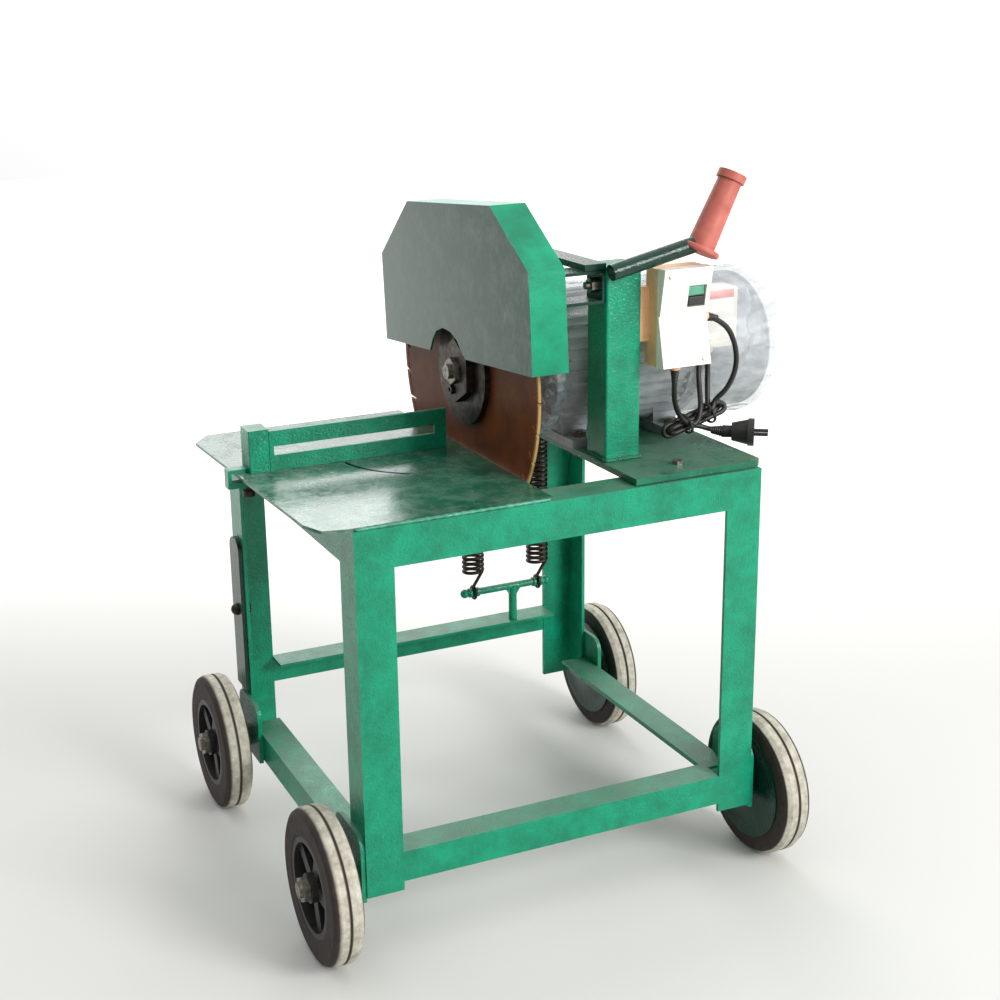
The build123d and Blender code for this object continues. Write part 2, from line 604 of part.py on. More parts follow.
outer_x = blade_x - half_core
outer = rod_x(outer_x - 8, outer_x, spindle_y, spindle_z, flange_radius)
outer += hex_x(outer_x - 18, outer_x - 7, spindle_y, spindle_z, 76)
outer -= rod_x(outer_x - 30, outer_x + 1, spindle_y, spindle_z, 12.7)
lock_y, lock_z = spindle_y + 8, spindle_z - 27
outer += rod_x(outer_x - 22, outer_x - 17, lock_y, lock_z, 6.5) - rod_x(outer_x - 23, outer_x - 19, lock_y, lock_z, 3)
save(outer, "outer_flange")
nut = hex_x(outer_x - 24.5, outer_x - 18, spindle_y, spindle_z, 32)
nut -= rod_x(outer_x - 30, outer_x - 17, spindle_y, spindle_z, 10)
save(nut, "spindle_nut")

fan = rod_x(stator_x[1] + 35, stator_x[1] + 62, spindle_y, spindle_z, 22)
fan += rod_x(stator_x[1] + 35, stator_x[1] + 38, spindle_y, spindle_z, 78)
for i in range(8):
    vane = Rot(45 * i, 0, 0) * Pos(0, 0, 48) * Box(24, 3, 60)
    fan += Pos(stator_x[1] + 49, spindle_y, spindle_z) * vane
fan -= rod_x(stator_x[1], stator_x[1] + 90, spindle_y, spindle_z, rear_journal)
save(fan, "cooling_fan")

# ------------------------------------------------------------------ fence
fence_y = 273.0
fence_z = (table_z + 0.3, 536.0)
fence_thick = 5.0
fence_right = 241.0
clamp_x = (-38.0, -10.0)
clamp_y = (fence_y, fence_y + 36)
strip = block(clamp_x[1], fence_right, fence_y, fence_y + fence_thick, fence_z[0], fence_z[1])
strip -= block(clamp_x[1] + 6, fence_right - 17, fence_y - 1, fence_y + fence_thick + 1, 503, 515)
save(strip, "fence_strip")
clamp = block(clamp_x[0], clamp_x[1], clamp_y[0], clamp_y[1], fence_z[0], 539)
clamp = fillet(clamp.edges().filter_by(Axis.Z), 2)
jaw_z = rail_top_z - 16
jaw_x = table_left - 5.5
jaw_y = (clamp_y[0] + 10, clamp_y[1] - 10)
clamp += block(jaw_x, clamp_x[0] + 1, jaw_y[0], jaw_y[1], fence_z[0], fence_z[0] + 5)
clamp += block(jaw_x, jaw_x + 5, jaw_y[0], jaw_y[1], jaw_z, fence_z[0] + 1)
clamp += block(jaw_x, clamp_x[0] + 14, jaw_y[0], jaw_y[1], jaw_z, jaw_z + 7)
screw_x, screw_y = clamp_x[0] + 2, sum(clamp_y) / 2
clamp -= rod_z(jaw_z - 1, jaw_z + 8, screw_x, screw_y, 5.0)
save(clamp, "fence_clamp")
screw = rod_z(jaw_z - 8, rail_top_z - 0.3, screw_x, screw_y, 4.9)
screw += rod_z(jaw_z - 14, jaw_z - 6, screw_x, screw_y, 8)
save(screw, "fence_screw")


# ------------------------------------------------------------------ cords, hank and plug
def cord(points, name):
    """Tube along straight runs joined by tangent arcs."""
    vs = [Vector(*p) for p in points]
    radii = []
    for a, b, d in zip(vs, vs[1:], vs[2:]):
        turn = (b - a).get_angle(d - b)
        run = min((b - a).length, (d - b).length)
        radii.append(0.45 * run / math.tan(math.radians(turn) / 2))
    path = FilletPolyline(*vs, radius=radii) if radii else Line(*vs)
    tube = sweep(Plane(origin=path @ 0, z_dir=path % 0) * Circle(cord_radius), path=path)
    exact = path.length * math.pi * cord_radius ** 2
    print(name, "radii", [round(r) for r in radii], "volume ratio", round(tube.volume / exact, 4))
    return tube


supply_route = [(box_x[1] + 8, 78, 667), (550, 79, 656), (570, 83, 628), (580, 90, 592), (572, 99, 560),
                (556, 107, 541), (546, 110, 534)]
lead_route = [(477, 78, box_z[0] - 7), (479, 82, 577), (488, 94, 552), (502, 107, 530)]
motor_routes = [[(x, tbox_y[0] + 8, tbox_z[0] - 7), (x - 3, 128, 577), (x - 8, 119, 553), (x - 12, 111, 534)]
                for x in motor_cord_x]
tail_route = [(530, 105, 515), (546, 98, 508), (557, 86, 507)]
save(cord(supply_route, "cord_supply"), "cord_supply")
leads = [cord(route, "cord_leads") for route in [lead_route] + motor_routes]
save(Compound(children=leads), "cord_leads")
save(cord(tail_route, "cord_tail"), "cord_tail")

hank_ends = ((500, 110, 514), (562, 110, 532))
hank_radius = 15.0
hank = rod(hank_ends[0], hank_ends[1], hank_radius)
for p in hank_ends:
    hank += Pos(*p) * Sphere(hank_radius)
save(hank, "cord_hank")

plug_start = Vector(557, 86, 507)
plug_dir = Vector(0.80, -0.60, 0)


def on_plug(distance):
    """Point on the plug's axis."""
    p = plug_start + plug_dir * distance
    return (p.X, p.Y, p.Z)


plug = rod(on_plug(0), on_plug(14), 8)
body_cone = Solid.make_cone(12.0, 17.0, 22, Plane(origin=on_plug(12), z_dir=plug_dir))
plug += body_cone
plug += rod(on_plug(33), on_plug(41), 18.3)
across = Vector(0.60, 0.80, 0)
for side in (-9.5, 9.5):
    p = Vector(*on_plug(40)) + across * side
    plug += rod(tuple(p), tuple(p + plug_dir * 19), 2.4)
save(plug, "plug")
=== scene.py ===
# %% [markdown]
# # A stone-cutting slab saw
# The saw is a welded angle-iron trolley with a steel table, a guarded disc blade and a
# motor head that tilts on a rear shaft. The solid parts come ready made as a fixed frame,
# in metres, with +Z up. This lesson gives them their finishes, and adds what a solid model
# leaves out: cords, weld beads, wrapping film and a label.

# %% Load the frame
import bpy, math
from mathutils import Matrix, Vector, noise


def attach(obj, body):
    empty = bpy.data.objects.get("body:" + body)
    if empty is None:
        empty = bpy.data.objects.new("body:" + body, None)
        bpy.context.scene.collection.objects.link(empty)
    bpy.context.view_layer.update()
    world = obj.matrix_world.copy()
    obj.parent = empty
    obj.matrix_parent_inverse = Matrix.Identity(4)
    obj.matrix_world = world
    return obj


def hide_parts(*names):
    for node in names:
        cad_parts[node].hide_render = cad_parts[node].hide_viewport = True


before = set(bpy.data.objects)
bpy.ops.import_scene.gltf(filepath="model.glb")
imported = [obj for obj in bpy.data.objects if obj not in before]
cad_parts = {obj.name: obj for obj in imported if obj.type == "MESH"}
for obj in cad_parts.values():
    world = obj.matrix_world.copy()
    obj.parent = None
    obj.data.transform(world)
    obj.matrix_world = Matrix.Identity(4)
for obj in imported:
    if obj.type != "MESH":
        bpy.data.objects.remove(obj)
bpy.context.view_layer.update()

# %% [markdown]
# ## Shared measures
# The solid parts were drawn in millimetres from the left front corner of the frame. One
# function turns such a place into the frame's metres, so every new piece can be placed
# with the same numbers as the part it sits on.

# %% Places in metres
CORNER = Vector((307, 269, -93))


def place(x, y, z):
    """A place measured in millimetres from the frame's corner, in metres."""
    return (Vector((x, y, z)) - CORNER) / 1000


SPINDLE_Y, SPINDLE_Z = 260, 589.5
FRONT_AXLE_Y, REAR_AXLE_Y, AXLE_HEIGHT = 44, 494, 7
FRAME_LENGTH = 560
GUARD_FOLD_X = 242.2
BLADE_RIM_INNER = 0.2065
SPINDLE = place(0, SPINDLE_Y, SPINDLE_Z)
AXLE_Y, AXLE_Z = place(0, REAR_AXLE_Y, 0).y, place(0, 0, AXLE_HEIGHT).z
print("spindle height", round(SPINDLE.z, 4), "axle height", round(AXLE_Z, 4))

# %% [markdown]
# ## The camera
# A long lens keeps the frame's verticals nearly parallel. The camera stands to the left of
# the machine, a little above the table, turned slightly to the right and leaning by under
# two degrees. A small lens shift then centres the machine in the frame.

# %% Camera
CAMERA_SPOT = (-0.903, -1.887, 1.154)
FOCAL_MM, SENSOR_MM = 56.8, 36
LENS_SHIFT = (0.1054, -0.0299)
yaw, pitch, lean = 0.382, -0.287, -0.0315
ahead = Vector((math.sin(yaw) * math.cos(pitch), math.cos(yaw) * math.cos(pitch), math.sin(pitch)))
level = Vector((math.cos(yaw), -math.sin(yaw), 0))
upright = level.cross(ahead)
right = math.cos(lean) * level + math.sin(lean) * upright
up = -math.sin(lean) * level + math.cos(lean) * upright
lens = bpy.data.cameras.new("camera")
lens.sensor_width, lens.lens = SENSOR_MM, FOCAL_MM
lens.shift_x, lens.shift_y = LENS_SHIFT
lens.clip_end = 60
camera = bpy.data.objects.new("camera", lens)
bpy.context.scene.collection.objects.link(camera)
turn = Matrix((right, up, -ahead)).transposed().to_4x4()
camera.matrix_world = Matrix.Translation(CAMERA_SPOT) @ turn
bpy.context.scene.camera = camera
print("lens", lens.lens, "mm")

# %% [markdown]
# ## Nodes and colours
# A material is a small net of nodes. Two helpers keep the net readable: one turns a web
# colour into the linear numbers the renderer works in, and one adds a node with its
# settings and its links. Every pattern is sized in real millimetres.

# %% Helpers for materials
def colour(code):
    """A web colour such as #1f8f68 as linear red, green, blue and alpha."""
    parts = [int(code[i:i + 2], 16) / 255 for i in (1, 3, 5)]
    return [c / 12.92 if c <= 0.04045 else ((c + 0.055) / 1.055) ** 2.4 for c in parts] + [1.0]


def per_mm(size):
    """The scale of a pattern whose cells are size millimetres wide."""
    return 1000.0 / size


def node(net, kind, settings=None, links=None):
    """Add a node. Settings are its properties; links fill its sockets with values or outputs."""
    made = net.nodes.new("ShaderNode" + kind)
    for name, value in (settings or {}).items():
        setattr(made, name, value)
    for name, value in (links or {}).items():
        socket = made.inputs[name]
        if isinstance(value, bpy.types.NodeSocket):
            net.links.new(value, socket)
        else:
            socket.default_value = value
    return made


def blank(name):
    """A material with a bare Principled shader: its net, its shader and Object coordinates."""
    finish = bpy.data.materials.new(name)
    finish.use_nodes = True
    net = finish.node_tree
    shader = net.nodes["Principled BSDF"]
    return finish, net, shader, node(net, "TexCoord").outputs["Object"]


def blotches(net, coords, size, low, high, top=1.0, detail=4, rough=0.6):
    """A noise pattern, stretched so that it runs from 0 at low to top at high."""
    cloud = node(net, "TexNoise", links={"Vector": coords, "Scale": per_mm(size), "Detail": detail,
                                         "Roughness": rough})
    return node(net, "MapRange", links={"Value": cloud.outputs["Fac"], "From Min": low, "From Max": high,
                                        "To Min": 0.0, "To Max": top}).outputs["Result"]


def mixed(net, share, first, second):
    """Two colours mixed by share."""
    return node(net, "Mix", {"data_type": "RGBA"}, {0: share, 6: first, 7: second}).outputs[2]


def raised(net, shader, height, strength, depth_mm):
    """Bump on the shader from a height pattern, depth_mm deep."""
    bump = node(net, "Bump", links={"Height": height, "Strength": strength, "Distance": depth_mm / 1000})
    net.links.new(bump.outputs["Normal"], shader.inputs["Normal"])


def stretched(net, coords, x, y, z):
    """Coordinates pulled out along an axis, for grain, brush marks and scratches."""
    return node(net, "Mapping", links={"Vector": coords, "Scale": (x, y, z)}).outputs["Vector"]


def from_axis(net, coords, y, z, both_sides=False):
    """Distance from a line along X at the given y and z. both_sides folds the y axis first."""
    if both_sides:
        coords = node(net, "VectorMath", {"operation": "ABSOLUTE"}, {0: coords}).outputs[0]
    flat = node(net, "VectorMath", {"operation": "MULTIPLY"}, {0: coords, 1: (0, 1, 1)}).outputs[0]
    return node(net, "VectorMath", {"operation": "DISTANCE"}, {0: flat, 1: (0, y, z)}).outputs["Value"]


def step(net, value, edge, soft=0.0005):
    """0 below edge and 1 above it, with a soft change of the given width."""
    return node(net, "MapRange", links={"Value": value, "From Min": edge - soft, "From Max": edge + soft}).outputs[
        "Result"]


def times(net, a, b):
    """Two patterns multiplied."""
    return node(net, "Math", {"operation": "MULTIPLY"}, {0: a, 1: b}).outputs[0]


# %% [markdown]
# ## Enamel on the frame
# The angle iron is brushed with gloss alkyd enamel, in one thick coat over mill scale. It
# dries with a fine orange peel, it is thinner and darker in patches, and it is rubbed pale
# where stone and hands touch it. One recipe makes every green here, from the bright frame
# to the dark handle, by its colours and its wear.

# %% Enamel
def facing_up(net, low=0.6, high=0.9):
    """1 on faces that look up, where dust settles, and 0 on walls."""
    normal = node(net, "TexCoord").outputs["Normal"]
    z = node(net, "SeparateXYZ", links={"Vector": normal}).outputs["Z"]
    return node(net, "MapRange", links={"Value": z, "From Min": low, "From Max": high}).outputs["Result"]


def enamel(name, body, shade, scuff, wear=0.5, peel_mm=3.4, gloss=(0.2, 0.36), depth_mm=0.9, dust=0.75):
    finish, net, shader, coords = blank(name)
    patches = blotches(net, coords, 45, 0.38, 0.60, 1.0, 8, 0.7)
    grit = blotches(net, coords, 9, 0.62, 0.72, wear, 8, 0.75)
    specks = blotches(net, coords, 2.2, 0.70, 0.76, wear, 2)
    coat = mixed(net, patches, colour(shade), colour(body))
    worn = mixed(net, grit, coat, colour(scuff))
    settled = times(net, facing_up(net), blotches(net, coords, 30, 0.25, 0.6, dust, 6, 0.65))
    worn = mixed(net, settled, worn, colour("#5f7a68"))
    net.links.new(mixed(net, specks, worn, colour(scuff)), shader.inputs["Base Color"])
    dull = node(net, "MapRange", links={"Value": settled, "To Min": gloss[0], "To Max": gloss[1] + 0.2})
    net.links.new(dull.outputs["Result"], shader.inputs["Roughness"])
    shader.inputs["Specular IOR Level"].default_value = 0.38
    raised(net, shader, blotches(net, coords, peel_mm, 0.25, 0.75, 1.0, 2), 0.6, depth_mm)
    return finish


frame_enamel = enamel("brushed_green_enamel", "#04936e", "#067a5a", "#5fae93", 0.5)
dark_enamel = enamel("dark_green_enamel", "#083c2e", "#052822", "#2f5a4c", 0.3, depth_mm=0.5, dust=0.25)
plate_enamel = enamel("rubbed_green_enamel", "#0f7152", "#0c5c43", "#a3b9a6", 0.7, 3.0, (0.16, 0.34), 0.6)
print("enamels", frame_enamel.name, dark_enamel.name, plate_enamel.name)

# %% [markdown]
# ## The worn table
# The table plate has the same enamel, polished by sliding stone. A pale grey-green painted
# reflection of the white sky lies on it, densest at the open left corner, and long fine
# scratches run the way the stone is pushed. The painted reflection is a large noise, and the
# scratches are a noise stretched about twenty times along one axis.

# %% Table finish
def circle_through(a, b, c):
    """Centre and radius of the circle through three places on the table."""
    d = 2 * (a.x * (b.y - c.y) + b.x * (c.y - a.y) + c.x * (a.y - b.y))
    aa, bb, cc = (p.x ** 2 + p.y ** 2 for p in (a, b, c))
    x = (aa * (b.y - c.y) + bb * (c.y - a.y) + cc * (a.y - b.y)) / d
    y = (aa * (c.x - b.x) + bb * (a.x - c.x) + cc * (b.x - a.x)) / d
    return Vector((x, y, 0)), (Vector((a.x, a.y, 0)) - Vector((x, y, 0))).length


def groove_mask(net, coords):
    """1 inside the arc that a dropped disc once cut into the table, where slurry stays black."""
    centre, radius = circle_through(place(91, 268, 0), place(106, 221, 0), place(147, 178, 0))
    flat = node(net, "VectorMath", {"operation": "MULTIPLY"}, {0: coords, 1: (1, 1, 0)}).outputs[0]
    far = node(net, "VectorMath", {"operation": "DISTANCE"}, {0: flat, 1: tuple(centre)}).outputs["Value"]
    off = node(net, "Math", {"operation": "SUBTRACT"}, {0: far, 1: radius}).outputs[0]
    off = node(net, "Math", {"operation": "ABSOLUTE"}, {0: off}).outputs[0]
    line = node(net, "MapRange", links={"Value": off, "From Min": 0.0027, "From Max": 0.0019}).outputs["Result"]
    parts = node(net, "SeparateXYZ", links={"Vector": coords})
    near = times(net, step(net, parts.outputs["Y"], place(0, 177, 0).y), step(net, parts.outputs["X"],
                                                                             place(89, 0, 0).x))
    ends = node(net, "MapRange", links={"Value": parts.outputs["Y"], "From Min": place(0, 270, 0).y,
                                        "From Max": place(0, 269, 0).y}).outputs["Result"]
    return times(net, times(net, line, near), ends)


def table_finish():
    finish, net, shader, coords = blank("polished_table_enamel")
    patches = blotches(net, coords, 60, 0.35, 0.65)
    coat = mixed(net, patches, colour("#0c4c38"), colour("#16654a"))
    x = node(net, "SeparateXYZ", links={"Vector": coords}).outputs["X"]
    corner = node(net, "MapRange", links={"Value": x, "From Min": -0.37, "From Max": -0.20, "To Min": 0.75,
                                          "To Max": 0.22}).outputs["Result"]
    # painted reflection: pale grey-green sky reflected in the gloss, painted into the colour, strongest at the
    # open left corner; the roughness rises with it as well
    painted_sky_reflection = times(net, blotches(net, coords, 34, 0.40, 0.62, 1.0, 8, 0.72), corner)
    sky_reflected_coat = mixed(net, painted_sky_reflection, coat, colour("#8fa597"))
    push = blotches(net, stretched(net, coords, 1, 0.06, 1), 2.5, 0.66, 0.76, 0.35, 3)
    drag = blotches(net, stretched(net, coords, 0.05, 1, 1), 2.5, 0.68, 0.78, 0.35, 3)
    marked = mixed(net, drag, mixed(net, push, sky_reflected_coat, colour("#8fae9f")), colour("#7da08e"))
    marked = mixed(net, groove_mask(net, coords), marked, colour("#0b1a15"))
    net.links.new(marked, shader.inputs["Base Color"])
    dull = node(net, "MapRange", links={"Value": painted_sky_reflection, "To Min": 0.16, "To Max": 0.5})
    net.links.new(dull.outputs["Result"], shader.inputs["Roughness"])
    raised(net, shader, blotches(net, coords, 4, 0.2, 0.8, 1.0, 3), 0.4, 0.3)
    return finish


table_enamel = table_finish()

# %% [markdown]
# ## The guard
# The guard is folded sheet in the same green, but its broad face is painted grey and glassy,
# in pale patches, and darker towards the front with a painted shade, while its narrow side
# and bevels stay bright green. The change is at the fold, so the x of a point decides which
# of the two colours it has.

# %% Guard finish
def guard_finish():
    finish, net, shader, coords = blank("grey_face_painted_shade_enamel")
    parts = node(net, "SeparateXYZ", links={"Vector": coords})
    patches = blotches(net, coords, 55, 0.35, 0.65)
    bright = mixed(net, patches, colour("#057a58"), colour("#069d74"))
    # painted shade: the broad face darkens from back to front, for how the light falls across it
    across = node(net, "MapRange", links={"Value": parts.outputs["Y"], "From Min": 0.20, "From Max": -0.22})
    face = mixed(net, across.outputs["Result"], colour("#6f8479"), colour("#2b5042"))
    film = blotches(net, coords, 26, 0.45, 0.75, 0.5, 7, 0.7)
    face = mixed(net, film, face, colour("#7d9488"))
    side = step(net, parts.outputs["X"], place(GUARD_FOLD_X, 0, 0).x, 0.0004)
    net.links.new(mixed(net, side, face, bright), shader.inputs["Base Color"])
    shader.inputs["Roughness"].default_value = 0.28
    shader.inputs["Specular IOR Level"].default_value = 0.3
    raised(net, shader, blotches(net, coords, 5, 0.2, 0.8, 1.0, 3), 0.4, 0.35)
    return finish


guard_enamel = guard_finish()

# %% [markdown]
# ## Steel, cast flange and blade
# Bare steel here is turned or zinc plated and then handled, so it is grey with brown in
# its hollows. The flange is black oxide steel wiped with oil. The blade core is lacquered
# brown and its segments are bronze-coloured sintered metal, so the distance from the
# spindle decides between lacquer and rim.

# %% Metals
def steel(name, light, dark, rough, size=6):
    finish, net, shader, coords = blank(name)
    cloud = blotches(net, coords, size, 0.3, 0.7, 1.0, 5)
    net.links.new(mixed(net, cloud, colour(dark), colour(light)), shader.inputs["Base Color"])
    shader.inputs["Metallic"].default_value = 0.9
    dull = node(net, "MapRange", links={"Value": cloud, "To Min": rough + 0.15, "To Max": rough})
    net.links.new(dull.outputs["Result"], shader.inputs["Roughness"])
    raised(net, shader, blotches(net, coords, 1.5, 0.2, 0.8), 0.3, 0.1)
    return finish


plated_steel = steel("zinc_plated_steel", "#a9a79e", "#5c564b", 0.35)
oiled_steel = steel("oiled_black_steel", "#4f453d", "#211c19", 0.36, 12)


def blade_finish():
    finish, net, shader, coords = blank("lacquered_disc_steel")
    far = from_axis(net, coords, SPINDLE.y, SPINDLE.z)
    patches = blotches(net, coords, 40, 0.3, 0.7, 1.0, 6)
    lacquer = mixed(net, patches, colour("#5e2a08"), colour("#824212"))
    streaks = blotches(net, coords, 7, 0.62, 0.75, 0.5, 6)
    lacquer = mixed(net, streaks, lacquer, colour("#96602f"))
    rim = mixed(net, patches, colour("#8d6a3a"), colour("#b8965c"))
    net.links.new(mixed(net, step(net, far, BLADE_RIM_INNER), lacquer, rim), shader.inputs["Base Color"])
    shader.inputs["Metallic"].default_value = 0.1
    shader.inputs["Roughness"].default_value = 0.55
    shader.inputs["Specular IOR Level"].default_value = 0.3
    raised(net, shader, blotches(net, coords, 3, 0.2, 0.8), 0.3, 0.15)
    return finish


blade_lacquer = blade_finish()

# %% [markdown]
# ## Wheels
# The wheels are solid rubber tyres on moulded nylon spoke hubs. The sidewall is black
# rubber browned by the sun. The tread is scrubbed and dusted to a pale grey by stone
# slurry, so the distance from the axle decides between them, and a thin line in the
# tread's groove is painted darker: a painted shade in the recess.

# %% Tyre rubber
def tyre_finish():
    finish, net, shader, coords = blank("dusty_tyre_rubber")
    far = from_axis(net, coords, AXLE_Y, AXLE_Z, both_sides=True)
    dirt = blotches(net, coords, 14, 0.3, 0.7, 1.0, 6, 0.7)
    wall = mixed(net, dirt, colour("#1d1613"), colour("#3a2e28"))
    tread = mixed(net, dirt, colour("#8f897a"), colour("#cfcabb"))
    x = node(net, "SeparateXYZ", links={"Vector": coords}).outputs["X"]
    middle = (place(-42, 0, 0).x + place(602, 0, 0).x) / 2
    off = node(net, "Math", {"operation": "SUBTRACT"}, {0: x, 1: middle}).outputs[0]
    outward = node(net, "Math", {"operation": "ABSOLUTE"}, {0: off}).outputs[0]
    off = node(net, "Math", {"operation": "SUBTRACT"}, {0: outward, 1: 0.322}).outputs[0]
    off = node(net, "Math", {"operation": "ABSOLUTE"}, {0: off}).outputs[0]
    # painted shade: the thin line at the tread's groove is painted darker than the tread
    groove_shaded_tread = mixed(net, step(net, off, 0.0022, 0.0006), colour("#5a5349"), tread)
    shoulder = node(net, "MapRange", links={"Value": outward, "From Min": 0.337, "From Max": 0.334})
    scrubbed = times(net, step(net, far, 0.0965, 0.001), shoulder.outputs["Result"])
    net.links.new(mixed(net, scrubbed, wall, groove_shaded_tread), shader.inputs["Base Color"])
    shader.inputs["Roughness"].default_value = 0.75
    raised(net, shader, blotches(net, coords, 2, 0.2, 0.8, 1.0, 5), 0.6, 0.4)
    return finish


tyre_rubber = tyre_finish()

# %% [markdown]
# ## Plastics, castings and cable
# The grip is soft coral vinyl with a fine moulded grain. The switch box is ABS: a cream
# cover on a tan base that years of dust have stained. The motor is die-cast aluminium
# under grey paint. The cords have black PVC jackets. One recipe serves them all, since
# they differ in colour, gloss and grain size.

# %% Moulded and cast finishes
def moulded(name, light, dark, rough, grain_mm=1.2, grain=0.3, patch_mm=30, metal=0.0, stain=None):
    finish, net, shader, coords = blank(name)
    patches = blotches(net, coords, patch_mm, 0.35, 0.7)
    tone = mixed(net, patches, colour(light), colour(dark))
    if stain:
        tone = mixed(net, blotches(net, coords, 12, 0.60, 0.76, 0.6, 7, 0.7), tone, colour(stain))
    net.links.new(tone, shader.inputs["Base Color"])
    shader.inputs["Metallic"].default_value = metal
    dull = node(net, "MapRange", links={"Value": patches, "To Min": rough, "To Max": rough + 0.12})
    net.links.new(dull.outputs["Result"], shader.inputs["Roughness"])
    raised(net, shader, blotches(net, coords, grain_mm, 0.2, 0.8, 1.0, 2), grain, 0.15)
    return finish


grip_vinyl = moulded("coral_vinyl", "#c26a5c", "#ad574a", 0.48, 1.5, 0.45, 20, stain="#a94b3f")
cover_plastic = moulded("cream_abs", "#f3efe4", "#e6e0d0", 0.38, 1.0, 0.2, stain="#cfc8b6")
base_plastic = moulded("tan_abs", "#f6c595", "#e6b07f", 0.5, 1.0, 0.3, stain="#9f7d5c")
green_plastic = moulded("green_button_abs", "#5aa387", "#3f8f72", 0.3)
black_plastic = moulded("black_nylon", "#1c1c1b", "#2b2a28", 0.42, 1.5, 0.4, stain="#4c4843")
motor_paint = moulded("grey_cast_aluminium", "#a9aeb1", "#878c90", 0.4, 1.8, 0.5, 35, 0.25, "#6a6d70")
label_white = moulded("white_vinyl_film", "#f6f5f0", "#ebe8e0", 0.35)
label_red = moulded("red_print", "#e0403a", "#cf342f", 0.35)
cable_jacket = moulded("black_pvc", "#171717", "#262523", 0.42, 2.0, 0.3, 25, stain="#3d3b38")

# %% [markdown]
# ## Giving the solid parts their finishes
# Each solid part has an empty material slot. A table of names puts the right finish in
# each. The parts themselves stay untouched, because their shape is what the checks measure.

# %% Assign finishes
finishes = {
    table_enamel: ["table_plate"], guard_enamel: ["blade_guard"], plate_enamel: ["rocker_plate"],
    dark_enamel: ["prop_bar", "guard_arm", "handle_tube"],
    plated_steel: ["pivot_shaft", "stub_axles", "head_bolts", "motor_rotor", "spindle_nut"],
    oiled_steel: ["outer_flange", "spring_left", "spring_right", "prop_bolt", "fence_screw"],
    blade_lacquer: ["blade"], grip_vinyl: ["handle_grip"], cover_plastic: ["switch_cover", "terminal_box"],
    base_plastic: ["switch_base"], green_plastic: ["start_button"],
    black_plastic: ["stop_button", "cooling_fan", "plug"],
    motor_paint: ["motor_stator", "motor_front_bell", "motor_rear_bell", "motor_feet", "fan_cowl"],
    cable_jacket: ["cord_supply", "cord_leads", "cord_tail", "cord_hank"],
}
chosen = {name: finish for finish, names in finishes.items() for name in names}
for name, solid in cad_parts.items():
    if name.endswith("_tyre"):
        finish = tyre_rubber
    elif name.endswith("_hub"):
        finish = black_plastic
    else:
        finish = chosen.get(name, frame_enamel)
    solid.data.materials.clear()
    solid.data.materials.append(finish)
print("finished", len(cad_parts), "solid parts")

# %% [markdown]
# ## Cords
# Three flexible cords hang on the head. The mains cord leaves the switch box at its right
# side, falls in one easy curve, is folded six times in a tied hank and ends in its plug.
# The motor's two cords come down from its terminal box: one goes up to the switch box and
# one is tucked into the hank. Each is a smooth curve with few control points, since a
# cable is stiff and makes no sharp corners where it hangs free.

# %% Cord routes
HANK_START, HANK_END = Vector((500, 110, 514)), Vector((562, 110, 532))
BUNDLE_RADIUS_MM = 8
CORD_RADIUS_MM = 3.5
hank_way = (HANK_END - HANK_START).normalized()
hank_up = Vector((-hank_way.z, 0, hank_way.x))


def in_hank(along, aside, above):
    """A point of the hank: along its length, towards the rear, and above its middle, in mm."""
    return tuple(HANK_START + hank_way * along + Vector((0, aside, 0)) + hank_up * above)


supply_route = [(522, 78, 667), (550, 79, 656), (570, 83, 628), (580, 90, 592), (572, 99, 560),
                (556, 107, 544)]
corners = [(BUNDLE_RADIUS_MM * math.cos(math.radians(60 * k + 30)),
            BUNDLE_RADIUS_MM * math.sin(math.radians(60 * k + 30))) for k in range(6)]
order, turns = (2, 5, 1, 4, 0, 3), (-13, 74, -19, 79, -11)
folds = []
for i, corner in enumerate(order):
    far_end = (56, 30, 4) if i % 2 == 0 else (4, 30, 56)
    folds += [in_hank(along, *corners[corner]) for along in (far_end if i < 5 else (4, 20))]
    if i < 5:
        folds += [in_hank(turns[i], *corners[corner]), in_hank(turns[i], *corners[order[i + 1]])]
tail_route = [(534, 103, 513), (546, 98, 508), (557, 86, 507)]
lead_route = [(477, 78, 601), (479, 82, 577), (486, 92, 552), (500, 97, 528)]
strand_route = [(548, 132, 605), (545, 128, 577), (540, 116, 555), (532, 100, 540)]
sensor_route = [(562, 132, 605), (559, 128, 577), (554, 119, 553), (550, 111, 534), in_hank(40, 0, 0),
                in_hank(22, 0, 0)]

# %% Make a cord
def cable(name, route, radius_mm=CORD_RADIUS_MM):
    """A round cable along a smooth curve, its points in millimetres."""
    line = bpy.data.curves.new(name, "CURVE")
    line.dimensions, line.resolution_u = "3D", 8
    line.bevel_depth, line.bevel_resolution, line.use_fill_caps = radius_mm / 1000, 3, True
    run = line.splines.new("NURBS")
    run.points.add(len(route) - 1)
    for point, spot in zip(run.points, route):
        point.co = (*place(*spot), 1)
    run.order_u = 3
    run.use_endpoint_u = True
    made = bpy.data.objects.new(name, line)
    bpy.context.scene.collection.objects.link(made)
    line.materials.append(cable_jacket)
    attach(made, "head")
    return made


mains_cord = cable("mains_cord", supply_route + folds + tail_route)
under_hank = [in_hank(16, -14.5, 0), in_hank(26, -14.5, 0)]
motor_cord = cable("motor_cord", lead_route + under_hank + strand_route[::-1])
sensor_cord = cable("sensor_cord", sensor_route)
for cord_piece in (mains_cord, motor_cord, sensor_cord):
    bare = cord_piece.data.copy()
    bare.bevel_depth = 0
    holder = bpy.data.objects.new("bare", bare)
    mesh = bpy.data.meshes.new_from_object(holder)
    spots = [v.co.copy() for v in mesh.vertices]
    print(cord_piece.name, "length", round(sum((a - b).length for a, b in zip(spots, spots[1:])), 4), "m")
    bpy.data.objects.remove(holder)

